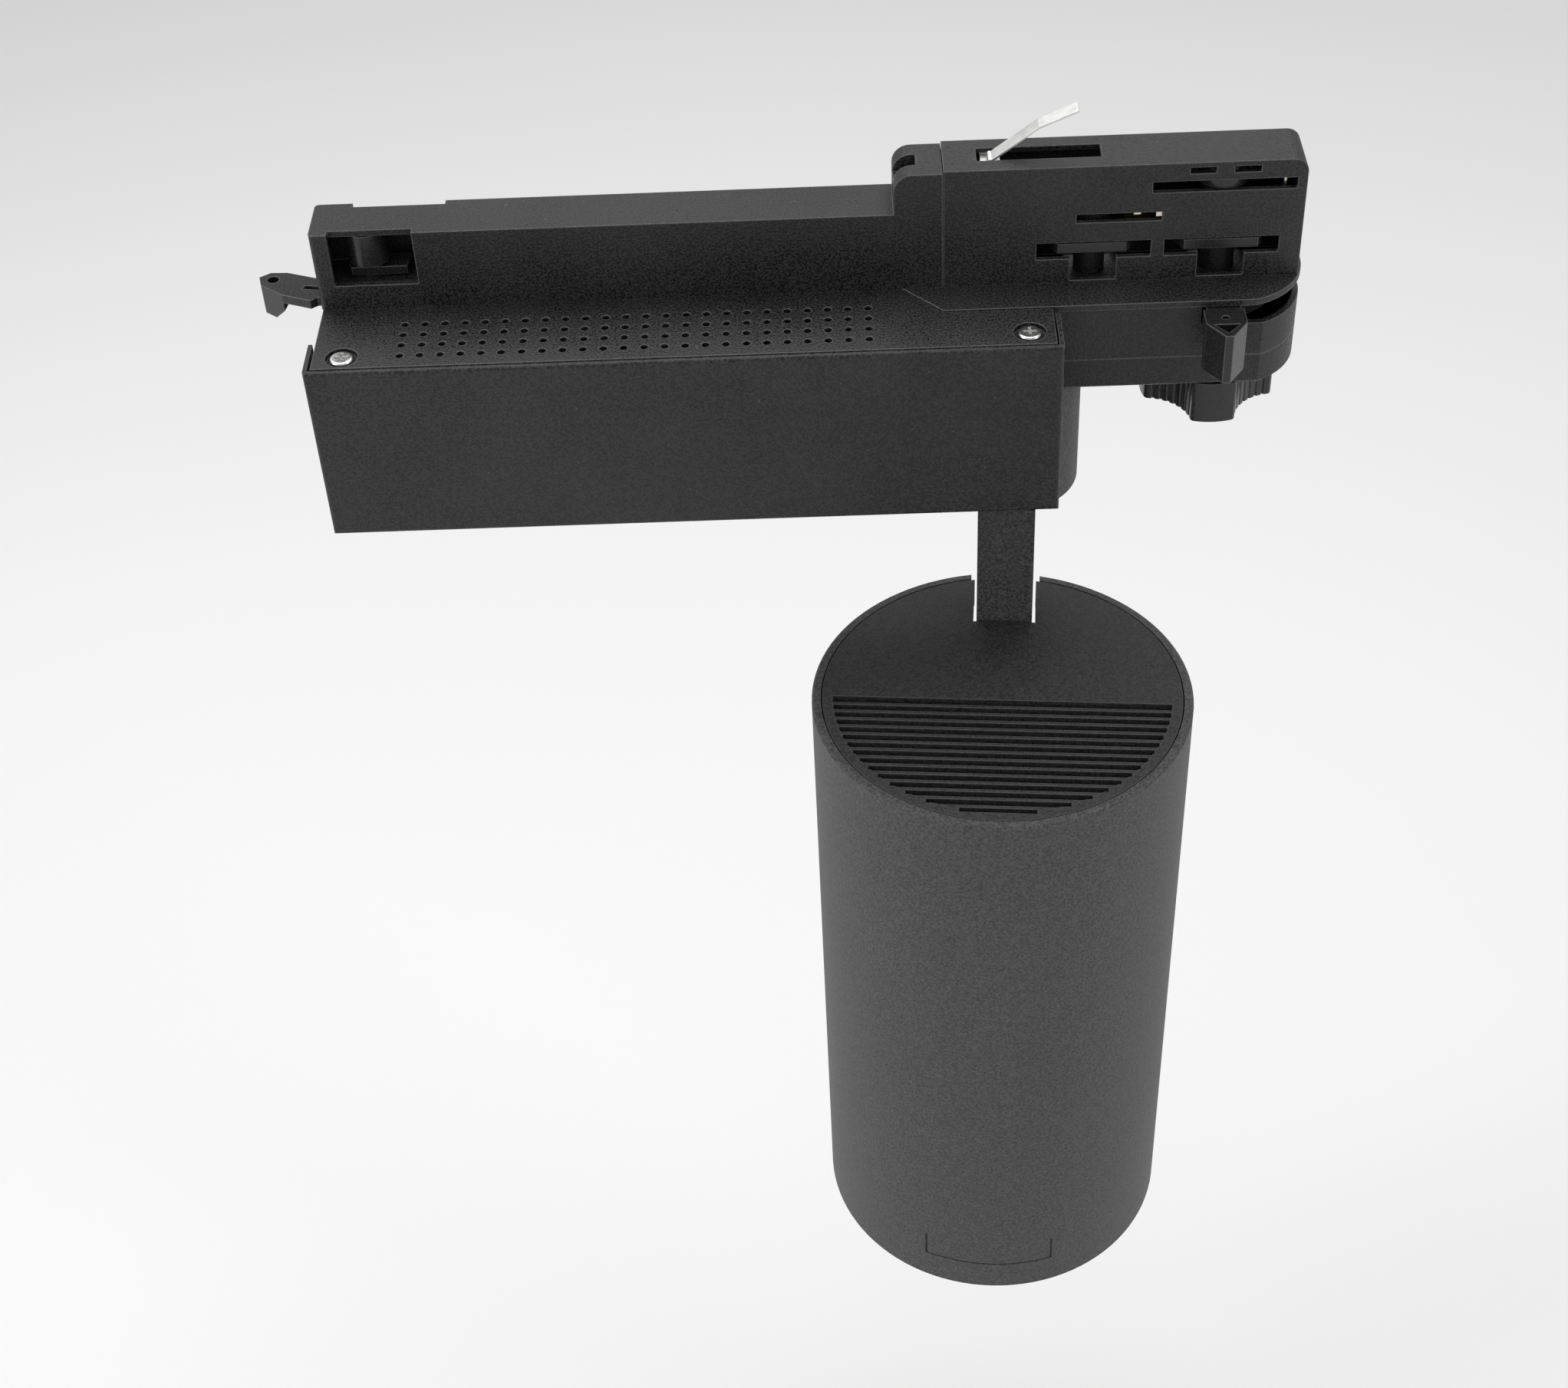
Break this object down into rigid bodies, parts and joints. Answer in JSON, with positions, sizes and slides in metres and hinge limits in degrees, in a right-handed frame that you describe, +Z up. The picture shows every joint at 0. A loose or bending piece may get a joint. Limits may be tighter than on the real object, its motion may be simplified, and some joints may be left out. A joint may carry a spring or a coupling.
{
  "type": "track spotlight",
  "caption": "Track-mounted spotlight: in-track adapter with locking lever and phase selector, side driver box, flat arm and a tilting cylindrical lamp head with a louvred back.",
  "frame": {"origin": "on the adapter's centre line, level with the flange face that seats on the track, at the seam between the adapter and the dummy bar", "axes": "+X along the track towards the phase selector, +Y to the back, away from the driver box's front, +Z up into the track"},
  "size_m": [0.2603, 0.1145, 0.3407],
  "materials": {
    "black_plastic": "fine spark-eroded matte",
    "black_coat": "fine-textured powder coat",
    "plated_steel": "zinc plated",
    "contact_metal": "nickel flashed",
    "circuit_board": "solder resist",
    "ferrite": "sintered, matte",
    "winding": "enamelled wire",
    "capacitor_sleeve": "shrink sleeve",
    "grey_plastic": "moulded",
    "white_plastic": "moulded",
    "bare_aluminium": "as extruded",
    "lead_cover": "silicone sleeve",
    "phosphor": "silicone dome",
    "mirror_metal": "faceted, vacuum metallised",
    "clear_glass": "polished"
  },
  "bodies": {
    "fixture": {"adapter_shell": "black_plastic", "adapter_base": "black_plastic", "neck_lower_shell": "black_plastic", "neck_screws": "plated_steel", "phase_contacts": "contact_metal", "neutral_contact": "contact_metal", "earth_anchor": "plated_steel", "track_bar": "black_plastic", "driver_top_plate": "black_plastic", "driver_tray": "black_plastic", "driver_front_cover": "black_plastic", "cover_screws": "plated_steel", "driver_board": "circuit_board", "transformer_core": "ferrite", "transformer_coil": "winding", "capacitors": "capacitor_sleeve", "line_choke": "winding", "terminal_blocks": "grey_plastic", "heat_spreader": "bare_aluminium", "mains_leads": "lead_cover", "output_leads": "lead_cover", "pan_nipple": "plated_steel", "pan_washer": "plated_steel", "pan_nut": "plated_steel"},
    "locking_lever": {"lock_lever": "black_plastic", "lock_rotor_right": "black_plastic"},
    "second_rotor": {"lock_rotor_left": "black_plastic"},
    "link": {"lock_link": "black_plastic"},
    "selector": {"selector_knob": "black_plastic", "selector_spindle": "black_plastic", "contact_drum": "black_plastic", "contact_blade": "contact_metal"},
    "end_latch": {"latch_lever": "black_plastic", "latch_rotor": "black_plastic"},
    "earth_spring": {"earth_leaf": "plated_steel"},
    "arm": {"swivel_barrel": "black_coat", "swivel_base": "black_coat", "swivel_screws": "plated_steel", "arm_bar": "black_coat", "arm_screws": "plated_steel", "arm_cable": "lead_cover", "tilt_pin": "plated_steel", "tilt_nut": "plated_steel"},
    "head": {"head_tube": "black_coat", "rear_cap": "black_coat", "heat_sink": "bare_aluminium", "tilt_bracket": "plated_steel", "bracket_screws": "plated_steel", "friction_washers": "grey_plastic", "led_board": "bare_aluminium", "led_emitter": "phosphor", "led_holder": "white_plastic", "led_screws": "plated_steel", "led_leads": "lead_cover", "reflector": "mirror_metal", "front_lens": "clear_glass", "front_ring": "black_coat"}
  },
  "joints": [
    {"name": "lock_turn", "type": "hinge", "parent": "fixture", "child": "locking_lever", "pos_m": [0.0679, 0, -0.0045], "axis": [0, 0, 1], "range_deg": [0, 90]},
    {"name": "second_rotor_turn", "type": "hinge", "parent": "fixture", "child": "second_rotor", "pos_m": [0.0364, 0, -0.0045], "axis": [0, 0, 1], "range_deg": [0, 90]},
    {"name": "link_swing", "type": "hinge", "parent": "locking_lever", "child": "link", "pos_m": [0.06154, -0.00636, -0.0135], "axis": [0, 0, 1], "range_deg": [-90, 0]},
    {"name": "selector_turn", "type": "hinge", "parent": "fixture", "child": "selector", "pos_m": [0.0679, 0, -0.031], "axis": [0, 0, 1], "range_deg": [-90, 90]},
    {"name": "end_latch_turn", "type": "hinge", "parent": "fixture", "child": "end_latch", "pos_m": [-0.1415, 0, 0.001], "axis": [0, 0, 1], "range_deg": [-85, 0]},
    {"name": "earth_press", "type": "hinge", "parent": "fixture", "child": "earth_spring", "pos_m": [0.0115, 0.0001, 0.0313], "axis": [0, 1, 0], "range_deg": [0, 28], "stiffness_Nm_per_rad": 0.05},
    {"name": "pan", "type": "hinge", "parent": "fixture", "child": "arm", "pos_m": [0.0176, 0, -0.0275], "axis": [0, 0, 1], "range_deg": [-170, 180]},
    {"name": "tilt", "type": "hinge", "parent": "arm", "child": "head", "pos_m": [0.0164, -0.01375, -0.126], "axis": [0.9962, -0.0872, 0], "range_deg": [0, 90]}
  ],
  "couplings": [
    {"joint": "second_rotor_turn", "follows": "lock_turn", "ratio": 1},
    {"joint": "link_swing", "follows": "lock_turn", "ratio": -1}
  ]
}
